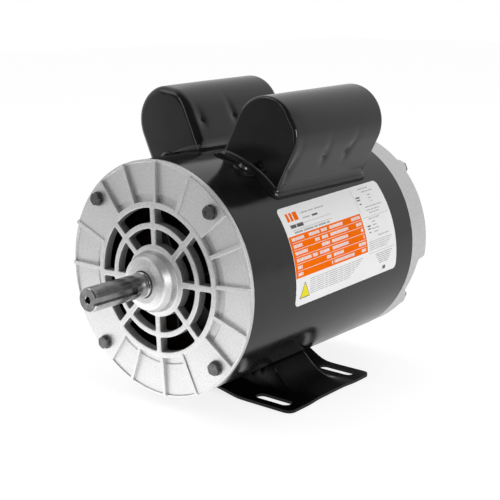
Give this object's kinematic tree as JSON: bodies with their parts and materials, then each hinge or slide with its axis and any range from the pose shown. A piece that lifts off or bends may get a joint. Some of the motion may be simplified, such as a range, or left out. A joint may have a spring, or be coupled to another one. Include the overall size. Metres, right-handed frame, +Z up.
{
  "type": "electric motor",
  "caption": "Foot-mounted single-phase electric motor with a round black shell, cast end bells, vented front, keyed shaft and capacitor covers on top.",
  "frame": {"origin": "on the floor, under the middle of the motor's length, below the shaft axis", "axes": "+Z up, shaft along Y and pointing to -Y, label on the +X side"},
  "size_m": [0.1601, 0.2885, 0.2108],
  "materials": {
    "black_paint": "satin",
    "gloss_black_paint": "gloss",
    "cast_aluminium": "as cast",
    "ground_steel": "ground",
    "black_oxide": "black oxide",
    "zinc_steel": "zinc plated",
    "lamination": "stacked laminations",
    "copper_enamel": "enamelled copper wire",
    "black_plastic": "matte",
    "rubber": "matte",
    "phenolic": "phenolic board",
    "white_label": "printed vinyl",
    "bearing_steel": "polished"
  },
  "bodies": {
    "frame": {"shell": "black_paint", "front_end_bell": "cast_aluminium", "rear_end_bell": "cast_aluminium", "base_foot": "gloss_black_paint", "through_bolt_1": "black_oxide", "through_bolt_2": "black_oxide", "through_bolt_3": "black_oxide", "through_bolt_4": "black_oxide", "through_bolt_nut_1": "black_oxide", "through_bolt_nut_2": "black_oxide", "through_bolt_nut_3": "black_oxide", "through_bolt_nut_4": "black_oxide", "start_capacitor_cover": "black_paint", "run_capacitor_cover": "black_paint", "start_cover_gasket": "rubber", "run_cover_gasket": "rubber", "cover_screw_1": "black_oxide", "cover_screw_2": "black_oxide", "cover_screw_3": "black_oxide", "cover_screw_4": "black_oxide", "start_capacitor": "black_plastic", "run_capacitor": "cast_aluminium", "nameplate_label": "white_label", "stator_core": "lamination", "main_winding": "copper_enamel", "start_winding": "copper_enamel", "front_bearing_outer_race": "bearing_steel", "rear_bearing_outer_race": "bearing_steel", "wave_washer": "zinc_steel", "switch_plate": "phenolic", "switch_screw_1": "zinc_steel", "switch_screw_2": "zinc_steel", "terminal_board": "phenolic", "terminal_cover": "black_paint", "terminal_cover_screw_1": "zinc_steel", "terminal_cover_screw_2": "zinc_steel", "ground_screw": "zinc_steel", "thermal_protector": "black_plastic", "cable_grommet": "rubber"},
    "rotor": {"shaft": "ground_steel", "rotor_core": "lamination", "rotor_cage": "cast_aluminium", "cooling_fan": "black_plastic", "front_bearing_inner_race": "bearing_steel", "rear_bearing_inner_race": "bearing_steel", "governor_hub": "zinc_steel", "governor_spring_1": "bearing_steel", "governor_spring_2": "bearing_steel"},
    "front_balls": {"front_bearing_balls": "bearing_steel"},
    "rear_balls": {"rear_bearing_balls": "bearing_steel"},
    "governor_weight_1": {"governor_weight_1": "zinc_steel"},
    "governor_weight_2": {"governor_weight_2": "zinc_steel"},
    "governor_spool": {"governor_spool": "black_plastic"},
    "switch_arm": {"switch_arm": "zinc_steel"}
  },
  "joints": [
    {"name": "rotor_spin", "type": "hinge", "parent": "frame", "child": "rotor", "pos_m": [0, 0, 0.0889], "axis": [0, 1, 0], "continuous": true},
    {"name": "front_balls_roll", "type": "hinge", "parent": "frame", "child": "front_balls", "pos_m": [0, -0.078, 0.0889], "axis": [0, 1, 0], "continuous": true},
    {"name": "rear_balls_roll", "type": "hinge", "parent": "frame", "child": "rear_balls", "pos_m": [0, 0.107, 0.0889], "axis": [0, 1, 0], "continuous": true},
    {"name": "governor_weight_1_swing", "type": "hinge", "parent": "rotor", "child": "governor_weight_1", "pos_m": [0, 0.07, 0.1104], "axis": [1, 0, 0], "range_deg": [0, 15], "stiffness_Nm_per_rad": 0.05, "springref_deg": -28.65},
    {"name": "governor_weight_2_swing", "type": "hinge", "parent": "rotor", "child": "governor_weight_2", "pos_m": [0, 0.07, 0.0674], "axis": [-1, 0, 0], "range_deg": [0, 15]},
    {"name": "governor_spool_slide", "type": "slide", "parent": "rotor", "child": "governor_spool", "axis": [0, 1, 0], "range_m": [-0.0042, 0]},
    {"name": "switch_arm_lift", "type": "hinge", "parent": "frame", "child": "switch_arm", "pos_m": [0.029, 0.0893, 0.0889], "axis": [0, 0, 1], "range_deg": [0, 4.6]}
  ],
  "couplings": [
    {"joint": "front_balls_roll", "follows": "rotor_spin", "ratio": 0.383},
    {"joint": "rear_balls_roll", "follows": "rotor_spin", "ratio": 0.383},
    {"joint": "governor_weight_2_swing", "follows": "governor_weight_1_swing", "ratio": 1},
    {"joint": "governor_spool_slide", "follows": "governor_weight_1_swing", "m_per_rad": -0.01527},
    {"joint": "switch_arm_lift", "follows": "governor_weight_1_swing", "ratio": 0.3}
  ]
}
